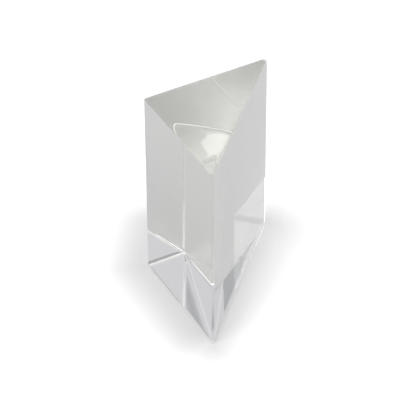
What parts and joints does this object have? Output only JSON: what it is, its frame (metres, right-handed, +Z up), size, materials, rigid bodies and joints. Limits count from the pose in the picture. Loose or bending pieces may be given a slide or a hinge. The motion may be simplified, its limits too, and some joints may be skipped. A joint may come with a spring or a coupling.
{
  "type": "right-angle glass prism",
  "caption": "Solid right-angle glass prism standing on a triangular end, polished all over with eased edges, for turning, reflecting and splitting light.",
  "frame": {"origin": "middle of the foot: the centre of the block's box, on the surface that it stands on", "axes": "+Z up along the upright edges, -Y out of the wide base face, +Y towards the apex edge between the two leg faces, X along the base face"},
  "size_m": [0.0448, 0.0228, 0.05],
  "materials": {
    "clear_glass": "polished clear"
  },
  "bodies": {
    "root": {"prism": "clear_glass"}
  },
  "joints": []
}
